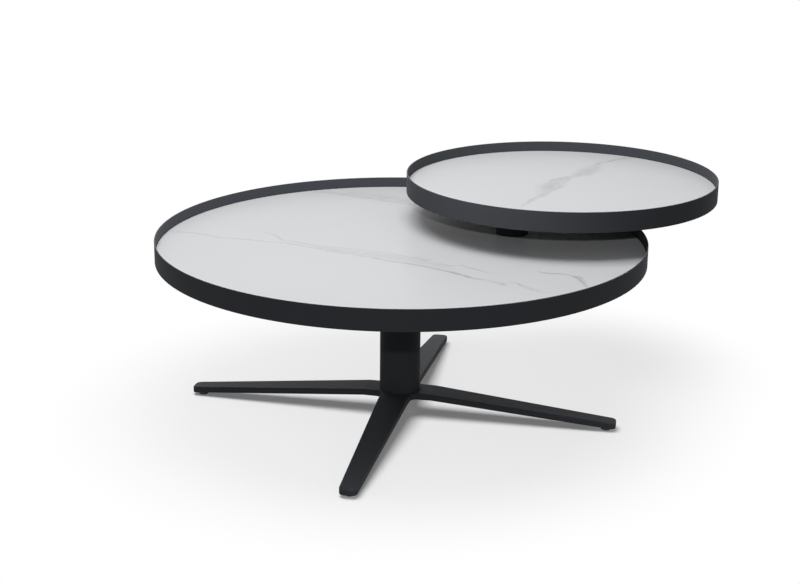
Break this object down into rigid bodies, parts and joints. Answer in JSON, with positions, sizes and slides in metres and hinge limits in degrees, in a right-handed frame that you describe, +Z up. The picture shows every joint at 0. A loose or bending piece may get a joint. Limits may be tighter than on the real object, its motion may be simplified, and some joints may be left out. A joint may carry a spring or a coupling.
{
  "type": "swivel coffee table",
  "caption": "Round coffee table on a column with a star base, with a smaller round top that swivels over the large one on an offset post. Both tops are rimmed trays with stone inlays.",
  "frame": {"origin": "on the floor, under the axis of the column", "axes": "+Z up; +X from the column's axis to the axis of the post that the small top swings on, which is also the way the table is longest as pictured"},
  "size_m": [1.1079, 0.9, 0.421],
  "materials": {
    "powder_coated_steel": "satin anthracite-black powder coat with a fine grain",
    "sintered_stone": "satin white sintered stone with soft grey marble veins",
    "black_board": "black-dyed fibreboard with a sealed face",
    "nylon": "matt moulded nylon",
    "zinc_plated_steel": "bright zinc plating",
    "insert_brass": "turned brass",
    "silicone": "translucent grey silicone"
  },
  "bodies": {
    "stand": {"star_base": "powder_coated_steel", "glide_back": "nylon", "glide_left": "nylon", "glide_front": "nylon", "glide_right": "nylon", "glide_screws": "zinc_plated_steel", "base_bolts": "zinc_plated_steel", "base_washers": "zinc_plated_steel", "column_tube": "powder_coated_steel", "column_foot_plate": "zinc_plated_steel", "carrier_plate": "powder_coated_steel", "carrier_screws": "zinc_plated_steel", "large_rim": "powder_coated_steel", "large_base_plate": "powder_coated_steel", "large_board": "black_board", "large_board_inserts": "insert_brass", "large_stone_pads": "silicone", "large_stone": "sintered_stone", "post_tube": "powder_coated_steel", "lower_bush": "nylon", "upper_bush": "nylon", "thrust_washer": "nylon"},
    "swivel_top": {"spindle": "zinc_plated_steel", "wave_washer": "zinc_plated_steel", "retaining_washer": "zinc_plated_steel", "retaining_bolt": "zinc_plated_steel", "swivel_plate": "powder_coated_steel", "swivel_screws": "zinc_plated_steel", "small_rim": "powder_coated_steel", "small_base_plate": "powder_coated_steel", "small_board": "black_board", "small_board_inserts": "insert_brass", "small_stone_pads": "silicone", "small_stone": "sintered_stone"}
  },
  "joints": [
    {"name": "small_top_swivel", "type": "hinge", "parent": "stand", "child": "swivel_top", "pos_m": [0.227, 0, 0.377], "axis": [0, 0, 1], "continuous": true}
  ]
}
